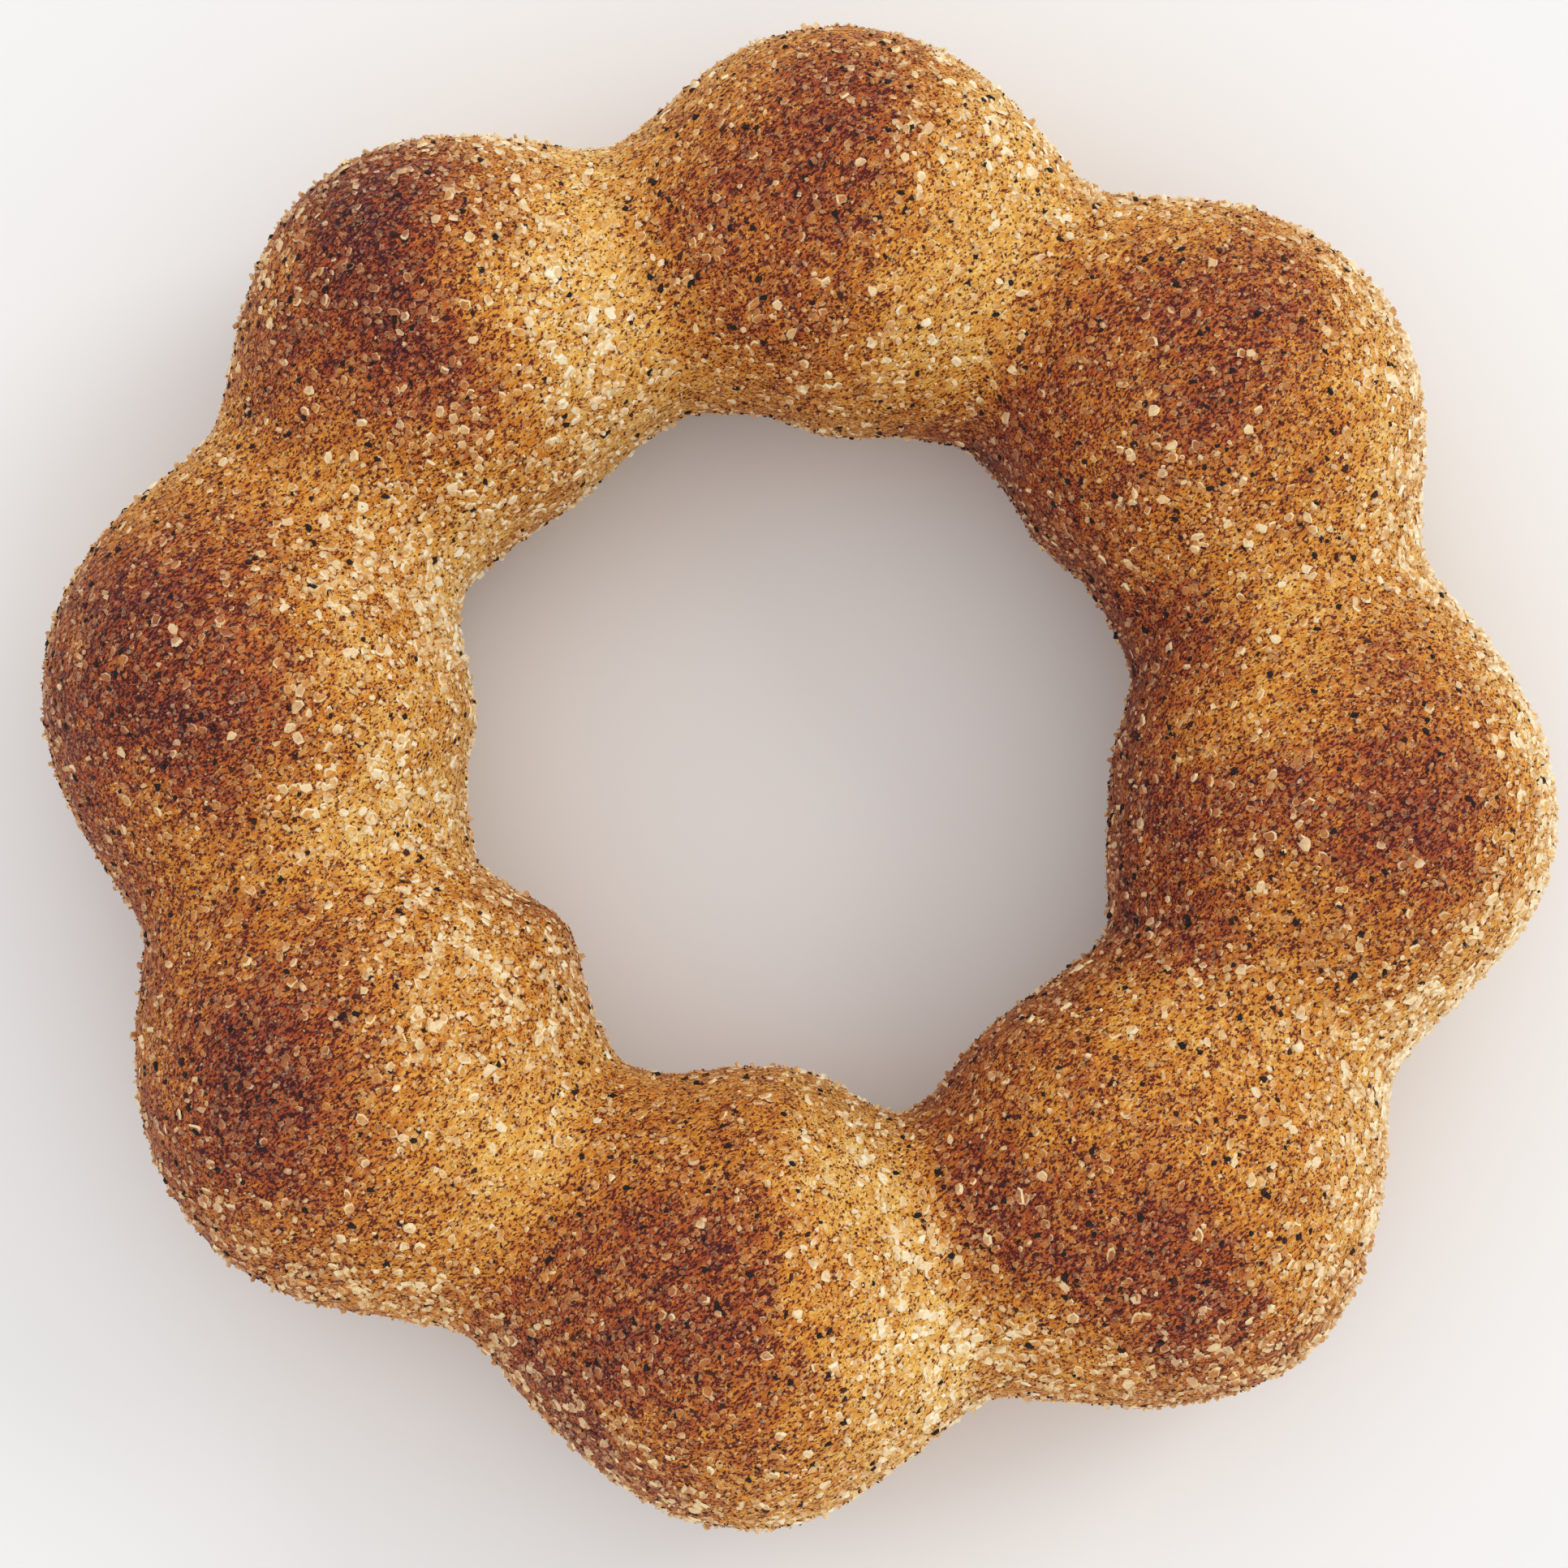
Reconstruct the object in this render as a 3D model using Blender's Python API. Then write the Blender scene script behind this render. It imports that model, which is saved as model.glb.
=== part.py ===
"""A ring doughnut of eight dough balls that fused as they fried, lying flat.

Metres, +Z up. The origin is on the table under the middle of the ring: the box round the
doughnut is centred on x = 0 and y = 0, and its flat resting spots lie at z = 0.
"""

import bpy
import numpy as np

# Driving dimensions, in metres and degrees.
# One row for each ball of dough, going round the ring: its bearing from +X, how far it reaches
# outwards and how near to the middle it comes, and how high its top is.
BALLS = (
    (41.0, 0.0475, 0.0208, 0.0247),
    (85.0, 0.0470, 0.0217, 0.0250),
    (128.0, 0.0476, 0.0218, 0.0245),
    (173.0, 0.0476, 0.0204, 0.0250),
    (215.0, 0.0470, 0.0177, 0.0242),
    (266.0, 0.0473, 0.0185, 0.0250),
    (311.0, 0.0480, 0.0203, 0.0246),
    (354.0, 0.0470, 0.0194, 0.0250),
)
# One row for the neck before each ball, in the same order and with the same four sizes.
NECKS = (
    (18.0, 0.0415, 0.0220, 0.0208),
    (63.0, 0.0412, 0.0228, 0.0204),
    (107.0, 0.0415, 0.0234, 0.0206),
    (151.0, 0.0424, 0.0240, 0.0207),
    (195.0, 0.0422, 0.0205, 0.0208),
    (240.0, 0.0410, 0.0216, 0.0202),
    (287.0, 0.0408, 0.0224, 0.0204),
    (332.0, 0.0418, 0.0214, 0.0207),
)
NECK_CLEARANCE = 0.0024  # from the table up to the underside of a neck
BALL_SAG = 0.0010  # how much of a ball's round underside its own weight pressed flat
FLAT_EDGE = 0.0005  # height over which a resting spot turns up into the round underside
WIDEST_LEVEL = 0.47  # level of the widest line round the tube, as a share of the top's height
TUBE_FULLNESS = 2.15  # exponent of the tube's section: 2 is an ellipse, more is squarer
CREASE_SOFTNESS = 0.25  # rounding of the creases between balls: 0 is a sharp crease
DOME_SHARE = 0.8  # share of a full, ball-like swelling; the rest is a plain wave

# Slight unevenness of the dough: waves round the ring, waves round the tube, height, phase.
LUMPS = (
    (5, 2, 0.00022, 0.6),
    (11, -1, 0.00016, 2.1),
    (17, 3, 0.00010, 4.0),
)

STATIONS = 128  # sections round the ring
SECTION_POINTS = 36  # points round each section

CRUST_COLOUR = (0.60, 0.31, 0.11, 1.0)
CRUST_ROUGHNESS = 0.75


def swelling(share):
    """How far the dough has swelled from a neck, at 0, to the middle of a ball, at 1."""
    wave = (1.0 - np.cos(np.pi * share)) / 2.0
    dome = np.sin(np.pi * share / 2.0)
    soft = CREASE_SOFTNESS
    dome = (np.sqrt(dome**2 + soft**2) - soft) / (np.sqrt(1.0 + soft**2) - soft)
    return DOME_SHARE * dome + (1.0 - DOME_SHARE) * wave


def sizes_at(bearing):
    """Outer reach, hole reach and top at each bearing, and the swelling there."""
    bearing = np.degrees(bearing) % 360.0
    outer, hole, top, swell = (np.zeros_like(bearing) for _ in range(4))
    for place, ball in enumerate(BALLS):
        before = NECKS[place]
        after = NECKS[(place + 1) % len(NECKS)]
        for neck, side in ((before, -1.0), (after, 1.0)):
            length = abs((ball[0] - neck[0] + 180.0) % 360.0 - 180.0)
            away = side * ((bearing - ball[0] + 180.0) % 360.0 - 180.0)
            here = (away >= 0.0) & (away <= length)
            part = swelling(1.0 - away[here] / length)
            swell[here] = part
            outer[here] = neck[1] + (ball[1] - neck[1]) * part
            hole[here] = neck[2] + (ball[2] - neck[2]) * part
            top[here] = neck[3] + (ball[3] - neck[3]) * part
    return outer, hole, top, swell


def rounded_power(wave):
    """A sine or cosine bent so that the section it draws is squarer than an ellipse."""
    return np.sign(wave) * np.abs(wave) ** (2.0 / TUBE_FULLNESS)


def resting_height(height):
    """Heights with everything below the table pressed flat on it, over a soft edge."""
    edge = FLAT_EDGE
    turning = (height + edge) ** 2 / (4.0 * edge)
    return np.where(height > edge, height, np.where(height < -edge, 0.0, turning))


def doughnut_surface(bearing, around):
    """Points of the doughnut's skin, one for each bearing and angle round the tube."""
    outer, hole, top, swell = sizes_at(bearing)
    underside = NECK_CLEARANCE - (NECK_CLEARANCE + BALL_SAG) * swell
    level = underside + (top - underside) * WIDEST_LEVEL
    lump = np.zeros_like(bearing)
    for ring_waves, tube_waves, height, phase in LUMPS:
        lump += height * np.sin(ring_waves * bearing + tube_waves * around + phase)
    across = rounded_power(np.cos(around))
    upward = rounded_power(np.sin(around))
    half_height = np.where(upward > 0.0, top - level, level - underside)
    reach = (outer + hole) / 2.0 + ((outer - hole) / 2.0 + lump) * across
    height = resting_height(level + (half_height + lump) * upward)
    return np.stack([reach * np.cos(bearing), reach * np.sin(bearing), height], axis=-1)


def centred(points):
    """Points moved sideways so that the box round them is centred on the origin."""
    middle = (points.max(axis=0) + points.min(axis=0)) / 2.0
    return points - [middle[0], middle[1], 0.0]


def crust_material():
    """Golden-brown fried crust."""
    material = bpy.data.materials.new("fried_crust")
    material.use_nodes = True
    shader = material.node_tree.nodes["Principled BSDF"]
    shader.inputs["Base Color"].default_value = CRUST_COLOUR
    shader.inputs["Roughness"].default_value = CRUST_ROUGHNESS
    shader.inputs["Metallic"].default_value = 0.0
    return material


def make_doughnut():
    """The whole doughnut: a plain torus whose points are moved onto the skin."""
    bpy.ops.mesh.primitive_torus_add(
        major_segments=STATIONS, minor_segments=SECTION_POINTS, major_radius=1.0, minor_radius=0.5
    )
    doughnut = bpy.context.object
    doughnut.name = "doughnut"
    mesh = doughnut.data
    plain = np.empty(len(mesh.vertices) * 3, dtype=np.float32)
    mesh.vertices.foreach_get("co", plain)
    x, y, z = plain.reshape(-1, 3).astype(float).T
    bearing = np.arctan2(y, x)
    around = np.arctan2(z, np.hypot(x, y) - 1.0)
    shaped = centred(doughnut_surface(bearing, around))
    mesh.vertices.foreach_set("co", shaped.ravel())
    mesh.update()
    mesh.shade_smooth()
    mesh.materials.append(crust_material())
    return doughnut


for leftover in list(bpy.data.objects):
    bpy.data.objects.remove(leftover, do_unlink=True)
make_doughnut()
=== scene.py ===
import math

import bpy
import numpy as np
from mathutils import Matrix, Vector, noise


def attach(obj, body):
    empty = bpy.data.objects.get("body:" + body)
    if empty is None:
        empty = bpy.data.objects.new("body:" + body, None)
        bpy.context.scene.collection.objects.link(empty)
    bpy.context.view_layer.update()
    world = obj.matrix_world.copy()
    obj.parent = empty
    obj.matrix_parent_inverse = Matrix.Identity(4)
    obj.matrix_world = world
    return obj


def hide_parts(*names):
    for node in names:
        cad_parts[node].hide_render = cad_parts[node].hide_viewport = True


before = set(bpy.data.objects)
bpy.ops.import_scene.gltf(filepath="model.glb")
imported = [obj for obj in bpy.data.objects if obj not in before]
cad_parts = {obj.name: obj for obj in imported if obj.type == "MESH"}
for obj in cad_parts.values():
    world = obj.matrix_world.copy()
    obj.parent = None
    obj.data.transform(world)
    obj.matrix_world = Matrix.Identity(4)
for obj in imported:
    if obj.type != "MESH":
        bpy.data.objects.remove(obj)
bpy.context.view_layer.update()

# A ring doughnut of eight fused balls of fried dough, coated in cinnamon sugar, in metres, +Z up.

MM = 0.001

# ---------------------------------------------------------------------------------------------
# The dough's shape, as in the solid
# ---------------------------------------------------------------------------------------------

# One row for each ball: bearing in degrees, then outer reach, hole reach and height of its top.
BALLS = (
    (41.0, 0.0475, 0.0208, 0.0247),
    (85.0, 0.0470, 0.0217, 0.0250),
    (128.0, 0.0476, 0.0218, 0.0245),
    (173.0, 0.0476, 0.0204, 0.0250),
    (215.0, 0.0470, 0.0177, 0.0242),
    (266.0, 0.0473, 0.0185, 0.0250),
    (311.0, 0.0480, 0.0203, 0.0246),
    (354.0, 0.0470, 0.0194, 0.0250),
)
# One row for the neck before each ball, with the same four sizes.
NECKS = (
    (18.0, 0.0415, 0.0220, 0.0208),
    (63.0, 0.0412, 0.0228, 0.0204),
    (107.0, 0.0415, 0.0234, 0.0206),
    (151.0, 0.0424, 0.0240, 0.0207),
    (195.0, 0.0422, 0.0205, 0.0208),
    (240.0, 0.0410, 0.0216, 0.0202),
    (287.0, 0.0408, 0.0224, 0.0204),
    (332.0, 0.0418, 0.0214, 0.0207),
)
NECK_CLEARANCE = 0.0024  # from the table up to the underside of a neck
BALL_SAG = 0.0010  # how much of a ball's round underside its own weight pressed flat
FLAT_EDGE = 0.0005  # height over which a resting spot turns up into the round underside
WIDEST_LEVEL = 0.47  # level of the widest line round the tube, as a share of the top's height
TUBE_FULLNESS = 2.15  # exponent of the tube's section: 2 is an ellipse, more is squarer
CREASE_SOFTNESS = 0.25  # rounding of the creases between balls: 0 is a sharp crease
DOME_SHARE = 0.8  # share of a full, ball-like swelling; the rest is a plain wave
# Slight unevenness of the dough: waves round the ring, waves round the tube, height, phase.
LUMPS = (
    (5, 2, 0.00022, 0.6),
    (11, -1, 0.00016, 2.1),
    (17, 3, 0.00010, 4.0),
)

COATING = 0.16 * MM  # the crust lies this far under the solid's skin, to leave room for the grains


def swelling(share):
    """How far the dough has swelled from a neck, at 0, to the middle of a ball, at 1."""
    wave = (1.0 - np.cos(np.pi * share)) / 2.0
    dome = np.sin(np.pi * share / 2.0)
    soft = CREASE_SOFTNESS
    dome = (np.sqrt(dome**2 + soft**2) - soft) / (np.sqrt(1.0 + soft**2) - soft)
    return DOME_SHARE * dome + (1.0 - DOME_SHARE) * wave


def turn_between(bearing, other):
    """The signed angle from one bearing to another, in degrees."""
    return (bearing - other + 180.0) % 360.0 - 180.0


def sizes_at(bearing):
    """Outer reach, hole reach and top at each bearing, and the swelling there."""
    bearing = np.degrees(bearing) % 360.0
    outer, hole, top, swell = (np.zeros_like(bearing) for _ in range(4))
    for place, ball in enumerate(BALLS):
        before = NECKS[place]
        after = NECKS[(place + 1) % len(NECKS)]
        for neck, side in ((before, -1.0), (after, 1.0)):
            length = abs(turn_between(ball[0], neck[0]))
            away = side * turn_between(bearing, ball[0])
            here = (away >= 0.0) & (away <= length)
            part = swelling(1.0 - away[here] / length)
            swell[here] = part
            outer[here] = neck[1] + (ball[1] - neck[1]) * part
            hole[here] = neck[2] + (ball[2] - neck[2]) * part
            top[here] = neck[3] + (ball[3] - neck[3]) * part
    return outer, hole, top, swell


def rounded_power(wave):
    """A sine or cosine bent so that the section it draws is squarer than an ellipse."""
    return np.sign(wave) * np.abs(wave) ** (2.0 / TUBE_FULLNESS)


def resting_height(height):
    """Heights with everything below the table pressed flat on it, over a soft edge."""
    turning = (height + FLAT_EDGE) ** 2 / (4.0 * FLAT_EDGE)
    return np.where(height > FLAT_EDGE, height, np.where(height < -FLAT_EDGE, 0.0, turning))


def dough_surface(bearing, around):
    """Points of the dough's skin for bearings round the ring and angles round the tube."""
    outer, hole, top, swell = sizes_at(bearing)
    underside = NECK_CLEARANCE - (NECK_CLEARANCE + BALL_SAG) * swell
    level = underside + (top - underside) * WIDEST_LEVEL
    lump = np.zeros_like(bearing)
    for ring_waves, tube_waves, height, phase in LUMPS:
        lump += height * np.sin(ring_waves * bearing + tube_waves * around + phase)
    across = rounded_power(np.cos(around))
    upward = rounded_power(np.sin(around))
    half_height = np.where(upward > 0.0, top - level, level - underside)
    reach = (outer + hole) / 2.0 + ((outer - hole) / 2.0 + lump) * across
    height = resting_height(level + (half_height + lump) * upward)
    return np.stack([reach * np.cos(bearing), reach * np.sin(bearing), height], axis=-1)


def centred(points):
    """Points moved sideways so that the box round them is centred on the origin."""
    middle = (points.max(axis=0) + points.min(axis=0)) / 2.0
    return points - [middle[0], middle[1], 0.0]


# ---------------------------------------------------------------------------------------------
# Mesh helpers
# ---------------------------------------------------------------------------------------------


def mesh_piece(name, points, faces, smooth):
    """A mesh object from points and an array of faces with the same number of corners each."""
    corners = faces.shape[1]
    mesh = bpy.data.meshes.new(name)
    mesh.vertices.add(len(points))
    mesh.vertices.foreach_set("co", points.astype(np.float32).ravel())
    mesh.loops.add(faces.size)
    mesh.loops.foreach_set("vertex_index", faces.astype(np.int32).ravel())
    mesh.polygons.add(len(faces))
    mesh.polygons.foreach_set("loop_start", np.arange(0, faces.size, corners, dtype=np.int32))
    mesh.polygons.foreach_set("use_smooth", np.full(len(faces), smooth))
    mesh.update(calc_edges=True)
    piece = bpy.data.objects.new(name, mesh)
    bpy.context.scene.collection.objects.link(piece)
    return piece


def paint(piece, name, values, domain="POINT"):
    """Stores one number for each point or face, for the piece's material to read."""
    layer = piece.data.attributes.new(name, "FLOAT", domain)
    layer.data.foreach_set("value", np.asarray(values, dtype=np.float32).ravel())


def normals_of(mesh):
    """The mesh's normal at each of its points."""
    found = np.empty(len(mesh.vertices) * 3, dtype=np.float32)
    mesh.vertex_normals.foreach_get("vector", found)
    return found.reshape(-1, 3).astype(float)


OCTAVE_FADE = 0.9  # how much weaker each finer octave is: 0 would be not at all
OCTAVE_STEP = 2.0  # how many times finer each octave is than the one before
SEED_STEPS = (7.3, 3.1, 5.7)  # how far apart two seeds read the noise, along each axis


def noise_at(points, size, octaves, seed):
    """Smooth random numbers, about -1 to 1, whose bumps are about this size in metres."""
    shift = Vector([seed * step for step in SEED_STEPS])
    scaled = points / size
    return np.array(
        [
            noise.fractal(Vector(p) + shift, OCTAVE_FADE, OCTAVE_STEP, octaves)
            for p in scaled.tolist()
        ]
    )


def layered_noise(points, layers):
    """The sum of several noises, one for each row of strength, bump size, octaves and seed."""
    return sum(
        strength * noise_at(points, size, octaves, seed)
        for strength, size, octaves, seed in layers
    )


# ---------------------------------------------------------------------------------------------
# Browning with painted shade: how dark the oil fried each place, with shade and light painted in,
# from 0, pale gold, to 1, deep red-brown
# ---------------------------------------------------------------------------------------------

# One row for each patch, partly browning and partly painted shade and light: its bearing, its angle
# round the tube from the outer side up over the crown, its half widths along the ring and round the
# tube in millimetres, and its strength, which is below 0 for paleness, partly real, partly painted
# light.
BROWNING_AND_SHADE_PATCHES = (
    (37.0, 80.0, 5.5, 6.5, 0.34),
    (50.0, 100.0, 8.0, 8.0, 0.14),
    (47.0, 34.0, 9.0, 6.0, 0.10),
    (28.0, 32.0, 6.0, 5.0, 0.12),
    (16.0, 42.0, 3.0, 6.0, 0.12),
    (36.0, 58.0, 5.0, 6.0, -0.20),
    (29.0, 66.0, 4.0, 6.0, -0.12),
    (47.0, 66.0, 3.5, 5.0, 0.20),
    (34.0, 92.0, 4.0, 8.0, 0.06),
    (45.0, 92.0, 4.0, 4.0, -0.08),
    (55.0, 46.0, 4.0, 7.0, -0.20),
    (60.0, 84.0, 5.0, 7.0, 0.14),
    (65.0, 114.0, 3.5, 8.0, -0.16),
    (70.0, 107.0, 3.0, 6.0, 0.12),
    (73.0, 94.0, 4.0, 5.0, -0.10),
    (19.0, 124.0, 4.5, 5.0, 0.18),
    (23.0, 99.0, 4.0, 6.0, -0.12),
    (16.0, 66.0, 3.5, 9.0, -0.12),
    (25.0, 78.0, 4.0, 7.0, 0.22),
    (37.0, 109.0, 4.0, 5.0, 0.08),
    (31.0, 122.0, 4.0, 9.0, -0.10),
    (48.0, 130.0, 3.0, 5.0, -0.12),
    (5.0, 98.0, 4.0, 4.0, -0.12),
    (4.0, 112.0, 8.0, 6.0, -0.06),
    (3.0, 162.0, 6.0, 4.0, 0.08),
    (58.0, 162.0, 9.0, 7.0, 0.26),
    (32.0, 162.0, 8.0, 4.0, 0.10),
    (84.0, 81.0, 6.0, 9.0, 0.36),
    (84.0, 46.0, 7.0, 5.0, 0.10),
    (73.0, 62.0, 5.0, 8.0, -0.20),
    (73.0, 150.0, 5.0, 10.0, -0.21),
    (90.0, 142.0, 6.0, 5.0, 0.18),
    (94.0, 124.0, 4.0, 4.0, 0.10),
    (98.0, 112.0, 7.0, 7.0, 0.04),
    (103.0, 101.0, 4.0, 6.0, 0.28),
    (103.0, 120.0, 4.0, 6.0, -0.20),
    (104.0, 20.0, 8.0, 5.0, -0.10),
    (96.0, 38.0, 5.0, 6.0, -0.14),
    (109.0, 97.0, 4.0, 5.0, -0.14),
    (118.0, 92.0, 4.5, 9.0, -0.08),
    (114.0, 128.0, 6.0, 4.0, 0.10),
    (113.0, 56.0, 4.0, 10.0, -0.12),
    (126.0, 56.0, 5.0, 10.0, 0.24),
    (126.0, 69.0, 6.5, 8.0, 0.32),
    (125.0, 87.0, 3.5, 5.0, -0.24),
    (130.0, 97.0, 5.0, 9.0, 0.17),
    (125.0, 116.0, 3.5, 6.0, -0.24),
    (134.0, 118.0, 5.0, 6.0, 0.20),
    (134.0, 32.0, 8.0, 5.0, -0.12),
    (139.0, 68.0, 3.5, 6.0, -0.20),
    (144.0, 87.0, 4.5, 10.0, 0.43),
    (148.0, 99.0, 3.0, 6.0, -0.14),
    (156.0, 100.0, 4.0, 8.0, -0.12),
    (142.0, 122.0, 4.0, 7.0, -0.28),
    (145.0, 52.0, 3.5, 5.0, 0.04),
    (150.0, 130.0, 4.0, 5.0, 0.14),
    (126.0, 158.0, 7.0, 4.0, 0.12),
    (118.0, 152.0, 4.0, 9.0, -0.16),
    (150.0, 154.0, 6.0, 5.0, -0.12),
    (157.0, 39.0, 5.0, 8.0, -0.32),
    (161.0, 69.0, 4.5, 11.0, 0.42),
    (160.0, 132.0, 8.0, 3.5, 0.10),
    (173.0, 69.0, 6.0, 6.5, 0.35),
    (182.0, 90.0, 6.0, 6.0, 0.38),
    (174.0, 103.0, 4.0, 4.0, 0.18),
    (165.0, 102.0, 4.0, 5.0, -0.12),
    (184.0, 132.0, 5.0, 5.0, 0.24),
    (188.0, 62.0, 5.0, 5.0, -0.14),
    (180.0, 44.0, 4.0, 6.0, 0.10),
    (182.0, 28.0, 10.0, 4.0, 0.16),
    (188.0, 110.0, 6.0, 9.0, -0.26),
    (170.0, 158.0, 9.0, 5.0, 0.06),
    (195.0, 128.0, 4.0, 5.0, 0.14),
    (205.0, 57.0, 5.5, 7.0, -0.35),
    (202.0, 32.0, 6.0, 4.0, 0.14),
    (213.0, 72.0, 6.0, 6.0, 0.46),
    (204.0, 79.0, 9.0, 7.0, 0.37),
    (214.0, 93.0, 4.0, 5.0, -0.22),
    (225.0, 98.0, 4.0, 6.0, -0.24),
    (221.0, 56.0, 4.0, 7.0, -0.22),
    (214.0, 136.0, 4.0, 4.0, -0.20),
    (226.0, 126.0, 6.0, 4.0, 0.20),
    (232.0, 116.0, 4.0, 9.0, -0.11),
    (213.0, 156.0, 8.0, 5.5, 0.28),
    (234.0, 160.0, 6.0, 4.0, 0.14),
    (242.0, 67.0, 4.0, 10.0, -0.20),
    (244.0, 42.0, 4.0, 6.0, 0.24),
    (245.0, 82.0, 4.0, 6.0, 0.05),
    (243.0, 102.0, 5.0, 5.0, -0.08),
    (253.0, 30.0, 6.0, 5.0, 0.20),
    (258.0, 40.0, 5.0, 5.0, 0.14),
    (256.0, 58.0, 5.5, 7.0, -0.38),
    (262.0, 72.0, 6.0, 7.5, 0.28),
    (265.0, 62.0, 4.0, 9.0, -0.06),
    (260.0, 86.0, 6.0, 6.0, 0.26),
    (253.0, 87.0, 8.0, 8.0, 0.27),
    (268.0, 124.0, 4.0, 7.0, 0.13),
    (274.0, 94.0, 5.0, 10.0, -0.22),
    (284.0, 128.0, 3.5, 12.0, -0.20),
    (283.0, 152.0, 4.0, 7.0, 0.14),
    (283.0, 92.0, 4.0, 4.0, 0.24),
    (286.0, 71.0, 4.0, 7.0, -0.22),
    (288.0, 48.0, 3.0, 8.0, 0.12),
    (297.0, 60.0, 4.0, 10.0, -0.14),
    (293.0, 100.0, 4.0, 7.0, 0.16),
    (304.0, 44.0, 4.0, 8.0, 0.14),
    (304.0, 65.0, 4.0, 6.0, 0.33),
    (308.0, 81.0, 4.0, 5.0, -0.18),
    (300.0, 76.0, 3.0, 5.0, -0.16),
    (302.0, 95.0, 7.0, 8.0, 0.37),
    (303.0, 113.0, 4.0, 5.0, -0.32),
    (302.0, 140.0, 4.5, 9.0, -0.12),
    (290.0, 148.0, 4.0, 8.0, 0.14),
    (240.0, 142.0, 3.0, 9.0, -0.12),
    (304.0, 160.0, 6.0, 5.0, 0.12),
    (311.0, 14.0, 7.0, 4.0, 0.26),
    (321.0, 126.0, 4.0, 8.0, -0.14),
    (320.0, 150.0, 8.0, 7.0, 0.16),
    (333.0, 83.0, 9.0, 9.0, 0.31),
    (328.0, 94.0, 4.0, 6.0, -0.18),
    (335.0, 126.0, 5.0, 6.0, 0.16),
    (339.0, 57.0, 6.0, 5.0, -0.18),
    (344.0, 50.0, 4.0, 5.0, 0.12),
    (350.0, 152.0, 9.0, 5.0, 0.15),
    (340.0, 106.0, 4.0, 7.0, -0.15),
    (352.0, 112.0, 4.0, 9.0, 0.14),
    (354.0, 68.0, 6.0, 6.0, 0.25),
    (6.0, 69.0, 5.0, 7.0, 0.27),
    (4.0, 42.0, 4.0, 6.0, -0.16),
    (18.0, 156.0, 10.0, 5.0, 0.20),
    (256.0, 101.0, 8.0, 6.0, -0.19),
    (226.0, 73.0, 4.5, 10.0, 0.24),
    (181.0, 116.0, 7.0, 6.0, -0.26),
    (303.0, 98.0, 4.0, 6.0, 0.08),
    (1.0, 142.0, 5.0, 5.0, -0.10),
    (216.0, 37.0, 5.0, 8.0, 0.14),
    (334.0, 132.0, 3.0, 6.0, 0.10),
    (325.0, 134.0, 3.5, 6.0, -0.10),
    (276.0, 66.0, 4.0, 8.0, 0.12),
    (154.0, 64.0, 4.0, 8.0, 0.08),
    (248.0, 44.0, 5.0, 6.0, 0.08),
    (182.0, 101.0, 4.0, 5.0, 0.10),
    (225.0, 142.0, 4.0, 5.0, -0.08),
    (243.0, 115.0, 5.0, 9.0, 0.18),
    (174.0, 91.0, 3.0, 4.0, -0.12),
    (149.0, 72.0, 3.0, 7.0, -0.08),
    (166.0, 38.0, 8.0, 8.0, -0.14),
    (203.0, 96.0, 5.0, 5.0, -0.05),
    (88.0, 128.0, 5.0, 5.0, -0.08),
    (151.0, 98.0, 3.0, 6.0, -0.06),
    (336.0, 113.0, 4.0, 5.0, -0.06),
    (290.0, 62.0, 3.0, 6.0, 0.04),
    (312.0, 100.0, 4.0, 5.0, -0.06),
)
# The same for the drifts of sugar, with how much thicker it lies there than the thinnest coat.
SUGAR_DRIFTS = (
    (117.0, 80.0, 3.0, 8.0, 1.0),
    (118.0, 128.0, 4.0, 5.0, 0.9),
    (125.0, 30.0, 5.0, 4.0, 0.5),
    (130.0, 152.0, 7.0, 4.0, 0.7),
    (138.0, 50.0, 3.0, 4.0, 0.4),
    (150.0, 128.0, 6.0, 5.0, 1.0),
    (158.0, 150.0, 5.0, 4.0, 1.4),
    (160.0, 105.0, 4.0, 4.0, 0.8),
    (174.0, 132.0, 6.0, 6.0, 0.7),
    (190.0, 128.0, 4.0, 5.0, 1.2),
    (207.0, 130.0, 5.0, 5.0, 0.9),
    (222.0, 118.0, 6.0, 6.0, 0.8),
    (226.0, 148.0, 5.0, 4.0, 0.6),
    (232.0, 32.0, 8.0, 4.0, 0.8),
    (256.0, 28.0, 8.0, 4.0, 0.6),
    (283.0, 66.0, 4.0, 8.0, 1.2),
    (289.0, 45.0, 4.0, 4.0, 0.8),
    (276.0, 122.0, 4.0, 6.0, 0.5),
    (303.0, 34.0, 7.0, 4.0, 0.7),
    (321.0, 28.0, 7.0, 6.0, 1.1),
    (332.0, 50.0, 4.0, 5.0, 1.0),
    (346.0, 20.0, 10.0, 5.0, 1.2),
    (346.0, 106.0, 3.0, 3.0, 0.7),
    (331.0, 110.0, 4.0, 4.0, 0.5),
    (6.0, 18.0, 7.0, 5.0, 1.1),
    (19.0, 36.0, 4.0, 5.0, 0.7),
    (32.0, 20.0, 9.0, 5.0, 1.1),
    (24.0, 105.0, 3.0, 3.0, 0.7),
    (35.0, 116.0, 4.0, 4.0, 0.3),
    (60.0, 28.0, 5.0, 4.0, 0.4),
    (73.0, 55.0, 5.0, 6.0, 0.6),
    (82.0, 142.0, 9.0, 4.0, 0.35),
)
UNDERSIDE_SHIFT = 9.0  # degrees round the ring by which the underside's patches lie elsewhere
TUBE_RADIUS = 13.0  # millimetres, a usual ball's
RING_RADIUS = 34.0  # millimetres, to the crown line
PATCH_FALLOFF = 2.4  # above 2 a patch is flatter in its middle and steeper at its edge
PATCH_REACH = 1.4  # at this value a patch has about half its strength at its half width
RAGGED_SHARE = 0.24  # how far a patch's edge wanders, as a share of its half width
RAGGED_SIZE = 3.0 * MM
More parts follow.
